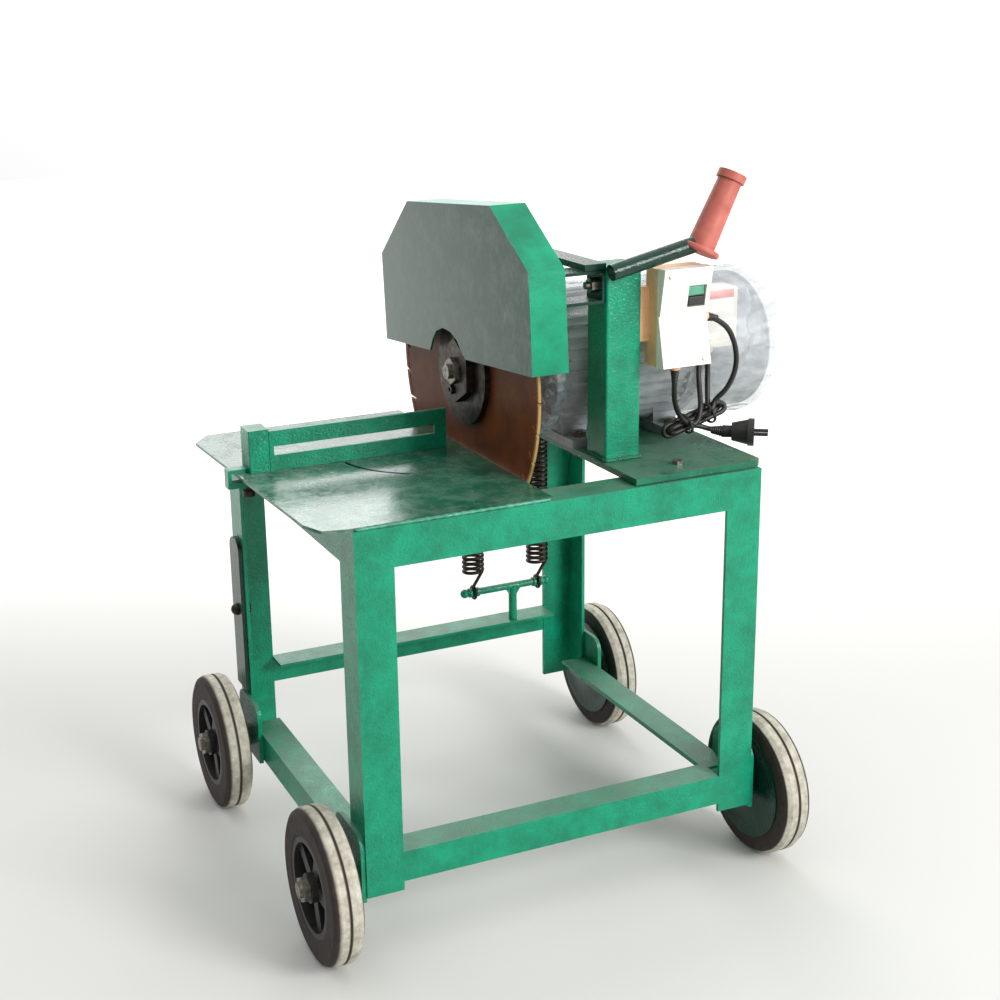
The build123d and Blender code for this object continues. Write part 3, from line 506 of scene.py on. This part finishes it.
# %% [markdown]
# ## Working by hand, in code
# New pieces are shaped the way a modeller does it: add a primitive, go into edit mode,
# select by place, and cut, push or bevel. These helpers hold the steps that every piece
# shares. A finished piece keeps its place in its mesh, like the solid parts do.

# %% Modelling helpers
def add(kind, **how):
    """Add a primitive with nothing else selected."""
    bpy.ops.object.select_all(action="DESELECT")
    getattr(bpy.ops.mesh, "primitive_" + kind + "_add")(**how)
    return bpy.context.object


def cut_rings(piece, cuts):
    """Cut a tube into rings, by subdividing only its lengthwise edges."""
    bpy.context.view_layer.objects.active = piece
    bpy.ops.object.mode_set(mode="EDIT")
    bpy.ops.mesh.select_mode(type="EDGE")
    bpy.ops.mesh.select_all(action="DESELECT")
    bpy.ops.object.mode_set(mode="OBJECT")
    points = piece.data.vertices
    for edge in piece.data.edges:
        a, b = (points[i].co.z for i in edge.vertices)
        edge.select = abs(a - b) > 1e-6
    bpy.ops.object.mode_set(mode="EDIT")
    bpy.ops.mesh.subdivide(number_cuts=cuts)
    bpy.ops.object.mode_set(mode="OBJECT")


def bake_place(piece):
    """Move the object's place, turn and size into its mesh."""
    bpy.ops.object.select_all(action="DESELECT")
    piece.select_set(True)
    bpy.context.view_layer.objects.active = piece
    bpy.ops.object.transform_apply(location=True, rotation=True, scale=True)


def hand_over(piece, name, finish, body, smooth=40):
    """Name a finished piece, give it its finish and let it move with a body."""
    bake_place(piece)
    piece.name = piece.data.name = name
    piece.data.materials.clear()
    piece.data.materials.append(finish)
    bpy.ops.object.shade_smooth_by_angle(angle=math.radians(smooth))
    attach(piece, body)
    print(name, len(piece.data.polygons), "faces")
    return piece


# %% [markdown]
# ## Ties and the plug's boot
# Two nylon ties hold the hank. Each is a flat band with its square lock. The boot behind
# the plug is a ribbed sleeve that tapers along the cord and keeps it from kinking: a
# cylinder cut into rings, with every second ring drawn in.

# %% Cable ties
def tie(name, along):
    middle = place(*in_hank(along, -2.5, 0))
    tilt = (0, math.radians(90) - math.atan2(hank_way.z, hank_way.x), 0)
    band = add("torus", location=middle, rotation=tilt, major_radius=0.0130, minor_radius=0.0011,
               major_segments=40, minor_segments=8)
    band.scale = (1.0, 1.25, 2.2)
    bake_place(band)
    lock = add("cube", size=0.006, location=place(*in_hank(along, -18, 5)), rotation=tilt)
    bpy.ops.object.mode_set(mode="EDIT")
    bpy.ops.mesh.select_all(action="SELECT")
    bpy.ops.mesh.bevel(offset=0.001, segments=2)
    bpy.ops.object.mode_set(mode="OBJECT")
    bake_place(lock)
    bpy.ops.object.select_all(action="DESELECT")
    lock.select_set(True)
    band.select_set(True)
    bpy.context.view_layer.objects.active = band
    bpy.ops.object.join()
    return hand_over(band, name, black_plastic, "head")


ties = [tie("hank_tie_left", 14), tie("hank_tie_right", 50)]

# %% The plug's boot
def ribbed_sleeve(name, start, end, wide, narrow, ribs):
    """A tapering sleeve from start to end, with every second ring drawn in."""
    a, b = place(*start), place(*end)
    way = (b - a).normalized()
    sleeve = add("cylinder", vertices=24, radius=1.0, depth=1.0)
    cut_rings(sleeve, 2 * ribs - 1)
    for point in sleeve.data.vertices:
        share = point.co.z + 0.5
        ring = round(share * 2 * ribs)
        radius = (wide + (narrow - wide) * share) * (0.84 if ring % 2 else 1.0) / 1000
        flat = Vector((point.co.x, point.co.y, 0)).normalized() * radius
        point.co = Vector((flat.x, flat.y, share * (b - a).length))
    sleeve.rotation_euler = way.to_track_quat("Z", "Y").to_euler()
    sleeve.location = a
    return hand_over(sleeve, name, black_plastic, "head")


boot = ribbed_sleeve("plug_boot", (559, 84.5, 507), (546, 96, 507.8), 8.6, 5.2, 6)
reliefs = [ribbed_sleeve("mains_relief", (514.5, 78, 667.3), (538, 78.4, 662), 7.2, 4.2, 6),
           ribbed_sleeve("motor_relief", (477, 78, 607.5), (477.8, 79.6, 585), 7.2, 4.2, 6)]

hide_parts("cord_supply", "cord_hank", "cord_tail")
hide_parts("cord_leads")

# %% [markdown]
# ## Weld beads
# A hand weld is a row of overlapping puddles. A thin tube with a ripple every three
# millimetres, and a little unevenness from a noise, gives the same edge of light. It lies
# half sunk in the corner that it fills.

# %% Weld beads
def bead(start, end, radius_mm=2.4, ripple_mm=3.2):
    a, b = place(*start), place(*end)
    long = (b - a).length
    rings = max(4, round(long * 1000 / ripple_mm * 4))
    tube = add("cylinder", vertices=8, radius=1.0, depth=1.0)
    cut_rings(tube, rings - 1)
    for point in tube.data.vertices:
        far = (point.co.z + 0.5) * long
        ripple = 1 + 0.16 * math.sin(far * 1000 / ripple_mm * 2 * math.pi)
        uneven = 1 + 0.25 * noise.noise(Vector((far * 90, a.x * 40, a.y * 40)))
        end_fade = min(1.0, 0.35 + min(far, long - far) / (radius_mm / 1000))
        radius = radius_mm / 1000 * ripple * uneven * end_fade
        flat = Vector((point.co.x, point.co.y, 0)).normalized() * radius
        point.co = Vector((flat.x, flat.y, far))
    tube.rotation_euler = (b - a).normalized().to_track_quat("Z", "Y").to_euler()
    tube.location = a
    bake_place(tube)
    return tube


def weld(name, runs, body, finish, slot, **how):
    """Several beads joined as one piece."""
    tubes = [bead(*run, **how) for run in runs]
    bpy.ops.object.select_all(action="DESELECT")
    for tube in tubes:
        tube.select_set(True)
    bpy.context.view_layer.objects.active = tubes[0]
    bpy.ops.object.join()
    return hand_over(bpy.context.object, name, finish, body, 60)


bead_enamel = enamel("chalked_bead_enamel", "#4aa285", "#1d7f5f", "#c3d8c9", 0.9, 2.0, (0.3, 0.5), 0.4)
weld("table_weld", [((4, 3.4, 479.6), (258, 3.4, 479.6))], "frame", bead_enamel, "frame_green")
weld("column_weld", [((380, 87, 489), (434, 87, 489)), ((381, 88, 489), (381, 138, 489)),
                     ((433, 88, 489), (433, 138, 489)), ((382, 139, 489), (432, 139, 489))],
     "head", plate_enamel, "table_green", radius_mm=3.0)

# %% [markdown]
# ## Wrapping film
# The motor is still in its transport film: thin stretch wrap, pulled round the fins, the
# terminal box and the fan cowl. Wrap spans hollows in straight bridges, so its outline is
# the convex outline of what is under it. It gathers in folds that run along the motor and
# fan out over its end. The tube is cut into rings and each point is moved to the outline,
# with a ridged noise for the folds.

# %% The outline under the film
BOX_CORNERS = [(-140, 16), (-140, 104), (-104, 110)]


def outline(reach):
    """The convex outline round the motor and, at reach 1, its terminal box: (y, z) in mm."""
    ring = [(100 * math.cos(math.radians(d)), 100 * math.sin(math.radians(d))) for d in range(0, 360, 6)]
    ring += [(y * (0.7 + 0.3 * reach), z * (0.7 + 0.3 * reach)) for y, z in BOX_CORNERS]
    ring.sort()
    hull = []
    for points in (ring, ring[::-1]):
        half = []
        for p in points:
            while len(half) > 1 and ((half[-1][0] - half[-2][0]) * (p[1] - half[-2][1])
                                     - (half[-1][1] - half[-2][1]) * (p[0] - half[-2][0])) <= 0:
                half.pop()
            half.append(p)
        hull += half[:-1]
    return hull


def far_out(hull, angle):
    """How far the outline is from the motor's axis in a direction, in mm."""
    dy, dz = math.cos(angle), math.sin(angle)
    best = 0.0
    for (y0, z0), (y1, z1) in zip(hull, hull[1:] + hull[:1]):
        cross = dy * (z1 - z0) - dz * (y1 - y0)
        if abs(cross) > 1e-9:
            far = (y0 * (z1 - z0) - z0 * (y1 - y0)) / cross
            at = (dy * z0 - dz * y0) / -cross
            if far > 0 and -1e-6 <= at <= 1 + 1e-6:
                best = max(best, far)
    return best


# %% Stretch the film
PLATE_TOP_Z = 488.3
FILM_WALL = 0.0003
TORN_FILM_WALL = 0.0004


def ease(value, low, high):
    """0 below low, 1 above high, smooth between."""
    share = min(1.0, max(0.0, (value - low) / (high - low)))
    return share * share * (3 - 2 * share)


def film(name, stations, finish, folds_mm, sides=144, rings=96):
    """A wrinkled sleeve round the motor. Stations are (x, share of the outline) pairs."""
    sleeve = add("cylinder", vertices=sides, radius=1.0, depth=1.0, end_fill_type="NOTHING")
    cut_rings(sleeve, rings - 1)
    hulls = {}
    for point in sleeve.data.vertices:
        share = (point.co.z + 0.5) * (len(stations) - 1)
        i = min(int(share), len(stations) - 2)
        part = share - i
        x = stations[i][0] + (stations[i + 1][0] - stations[i][0]) * part
        size = stations[i][1] + (stations[i + 1][1] - stations[i][1]) * part
        angle = math.atan2(point.co.y, point.co.x)
        reach = ease(x, 440, 500) * (1 - ease(x, 604, 655))
        key = round(reach, 2)
        if key not in hulls:
            hulls[key] = outline(key)
        far = far_out(hulls[key], angle)
        around = Vector((math.cos(angle), math.sin(angle), 0))
        fold = 1 - abs(noise.noise(Vector((x * 0.012, around.x * 7, around.y * 7)))) * 2.4
        fine = 1 - abs(noise.noise(Vector((x * 0.035 + 9, around.x * 16, around.y * 16 + 4)))) * 2.6
        crinkle = noise.noise(Vector((x * 0.09, around.x * 9 + 3, around.y * 9)))
        far = far * size + folds_mm * (0.9 * fold + 0.5 * fine + 0.8 * crinkle) * min(1, size * 1.2)
        spot = place(x + folds_mm * crinkle * 0.8, SPINDLE_Y + far * math.cos(angle),
                     SPINDLE_Z + far * math.sin(angle))
        spot.z = max(spot.z, place(0, 0, PLATE_TOP_Z).z)
        point.co = spot
    bpy.context.view_layer.objects.active = sleeve
    wall = sleeve.modifiers.new("thickness", "SOLIDIFY")
    wall.thickness = FILM_WALL
    bpy.ops.object.modifier_apply(modifier=wall.name)
    return hand_over(sleeve, name, finish, "head", 70)


def film_finish(name, tint, see_through):
    finish, net, shader, coords = blank(name)
    # painted highlights and shade: near white streaks along the motor stand for light on the folds, and the grey
    # tint between them is painted shade in the creases
    folds = blotches(net, stretched(net, coords, 0.3, 1, 1), 14, 0.42, 0.62, 1.0, 8, 0.7)
    net.links.new(mixed(net, folds, colour(tint), colour("#eef1f1")), shader.inputs["Base Color"])
    shader.inputs["Roughness"].default_value = 0.16
    shader.inputs["Alpha"].default_value = see_through
    raised(net, shader, blotches(net, stretched(net, coords, 0.5, 1, 1), 8, 0.3, 0.7, 1.0, 4), 0.7, 1.2)
    return finish


clear_film = film_finish("clear_stretch_film", "#c3c9cd", 0.24)
blue_film = film_finish("milky_stretch_film", "#7f96a8", 0.38)
body_stations = [(366, 0.93), (384, 1.0), (440, 1.0), (500, 1.0), (560, 1.0), (610, 1.01),
                 (650, 1.02), (684, 1.02), (695, 0.93), (699, 0.72), (698, 0.35), (697, 0.04)]
nose_stations = [(339, 0.42), (340, 0.62), (344, 0.84), (352, 0.98), (362, 0.99)]
film("motor_film", body_stations, clear_film, 3.0)
film("motor_front_film", nose_stations, blue_film, 2.6, 120, 28)

# %% [markdown]
# ## A torn end of film
# Below the motor's nose the wrap has torn, and a crumpled end of it hangs there, behind
# the disc. A grid is the natural start for a sheet. Its points are gathered
# towards the top, pushed about by noise in ridges, and drawn to a ragged edge below.

# %% Hanging film
def hanging_film():
    sheet = add("grid", x_subdivisions=60, y_subdivisions=60, size=1.0)
    for point in sheet.data.vertices:
        u, v = point.co.x + 0.5, 0.5 - point.co.y
        crease = 1 - abs(noise.noise(Vector((u * 5, v * 2.2, 3)))) * 2
        fine = noise.noise(Vector((u * 13, v * 9, 8)))
        ragged = 1 + 0.30 * noise.noise(Vector((u * 4, 0, 1))) - 0.35 * abs(u - 0.55)
        spread = 0.55 + 0.45 * v
        along = 236 + (u - 0.5) * 104 * spread + 8 * fine
        drop = 512 - 62 * v * ragged + 5 * crease * v
        point.co = place(330 + 14 * crease - 18 * v + 9 * fine, along, drop)
    bpy.context.view_layer.objects.active = sheet
    wall = sheet.modifiers.new("thickness", "SOLIDIFY")
    wall.thickness = TORN_FILM_WALL
    bpy.ops.object.modifier_apply(modifier=wall.name)
    return hand_over(sheet, "torn_film", torn_finish, "head", 70)


torn_finish = film_finish("crumpled_stretch_film", "#c9d2d8", 0.62)
hanging_film()

# %% [markdown]
# ## Discs behind the wheels
# Each wheel carries a pressed steel disc on its inner side, in the frame's dark green. It
# starts as a cylinder. One face is inset and pushed in, which leaves a rolled edge, and a
# second pair of insets raises the middle again.

# %% Wheel discs
DISC_OFFSET = 21.0
DISC_RADIUS, DISC_THICKNESS = 0.076, 0.0024


def wheel_disc(name, left, y):
    x = -DISC_OFFSET if left else FRAME_LENGTH + DISC_OFFSET
    side = 1 if left else -1
    turned = (0, math.radians(90) * side, 0)
    disc = add("cylinder", vertices=64, radius=DISC_RADIUS, depth=DISC_THICKNESS,
               location=place(x, y, AXLE_HEIGHT), rotation=turned)
    bpy.ops.object.mode_set(mode="EDIT")
    bpy.ops.mesh.select_mode(type="FACE")
    bpy.ops.mesh.select_all(action="DESELECT")
    bpy.ops.object.mode_set(mode="OBJECT")
    for face in disc.data.polygons:
        face.select = face.normal.z > 0.9
    bpy.ops.object.mode_set(mode="EDIT")
    bpy.ops.mesh.inset(thickness=0.006, depth=0)
    bpy.ops.mesh.inset(thickness=0.004, depth=-0.0009)
    bpy.ops.mesh.inset(thickness=0.030, depth=0)
    bpy.ops.mesh.inset(thickness=0.003, depth=0.0012)
    bpy.ops.object.mode_set(mode="OBJECT")
    return hand_over(disc, "disc_" + name, dark_enamel, "wheel_" + name, 30)


for left, side_name in ((True, "left"), (False, "right")):
    wheel_disc("front_" + side_name, left, FRONT_AXLE_Y)
    wheel_disc("rear_" + side_name, left, REAR_AXLE_Y)

# %% [markdown]
# ## The motor's label
# A printed vinyl label sits on the terminal box. It is a bevelled plate under a
# millimetre thick, with a red band across its top and no lettering.

# %% Label
def sticker(name, x0, x1, z0, z1, y, finish):
    plate = add("cube", size=1.0, location=(place(x0, y, z0) + place(x1, y, z1)) / 2)
    plate.scale = ((x1 - x0) / 1000, 0.0007, (z1 - z0) / 1000)
    bake_place(plate)
    bpy.ops.object.mode_set(mode="EDIT")
    bpy.ops.mesh.select_all(action="SELECT")
    bpy.ops.mesh.bevel(offset=0.0002, segments=2)
    bpy.ops.object.mode_set(mode="OBJECT")
    return hand_over(plate, name, finish, "head")


LABEL_LEFT, LABEL_RIGHT, LABEL_Y = 528, 594, 123.5
sticker("motor_label", LABEL_LEFT, LABEL_RIGHT, 622, 676, LABEL_Y, label_white)
sticker("motor_label_band", LABEL_LEFT, LABEL_RIGHT, 677, 688, LABEL_Y, label_red)

# %% [markdown]
# ## Floor and light
# A pale floor runs far behind the machine. The light is a large soft box high on the right
# of the operator, with a weaker one behind. The sky is white above and beyond the machine
# and fades to near black low on the left and in front. Beyond the machine the floor glows a
# little, so that it meets the sky without a horizon from the front.

# %% Stage
floor = add("plane", size=16, location=(0, 2, 0))
floor.name = "floor"
floor_finish, floor_net, floor_shader, floor_coords = blank("pale_floor")
floor_shader.inputs["Base Color"].default_value = colour("#cfcfcb")
floor_shader.inputs["Roughness"].default_value = 0.9
distance = node(floor_net, "VectorMath", {"operation": "DOT_PRODUCT"}, {0: floor_coords, 1: (0.37, 0.93, 0)})
glow = node(floor_net, "MapRange", {"interpolation_type": "SMOOTHSTEP"},
            {"Value": distance.outputs["Value"], "From Min": -1.6, "From Max": 0.6, "To Min": 0.0, "To Max": 0.75})
floor_shader.inputs["Emission Color"].default_value = colour("#ffffff")
floor_net.links.new(glow.outputs["Result"], floor_shader.inputs["Emission Strength"])
floor.data.materials.append(floor_finish)

world = bpy.data.worlds.new("studio")
world.use_nodes = True
air = world.node_tree
way = node(air, "TexCoord").outputs["Generated"]
lit = node(air, "VectorMath", {"operation": "DOT_PRODUCT"}, {0: way, 1: (0.60, 0.20, 0.77)}).outputs["Value"]
wall = node(air, "MapRange", {"interpolation_type": "SMOOTHSTEP"},
            {"Value": lit, "From Min": -0.45, "From Max": 0.40, "To Min": 0.03, "To Max": 1.1})
air.nodes["Background"].inputs["Color"].default_value = colour("#ffffff")
air.links.new(wall.outputs["Result"], air.nodes["Background"].inputs["Strength"])
bpy.context.scene.world = world


def soft_box(name, spot, aim, size, power):
    """An area light at spot, turned to its aim."""
    lamp = bpy.data.lights.new(name, "AREA")
    lamp.size, lamp.energy = size, power
    made = bpy.data.objects.new(name, lamp)
    bpy.context.scene.collection.objects.link(made)
    made.location = spot
    made.rotation_euler = (Vector(aim) - Vector(spot)).to_track_quat("-Z", "Y").to_euler()


soft_box("key", (1.5, -3.0, 1.9), (0, 0, 0.5), 1.3, 100)
soft_box("back", (0.6, 2.6, 2.2), (0, 0, 0.5), 1.6, 35)
bpy.context.scene.view_settings.view_transform = "Standard"
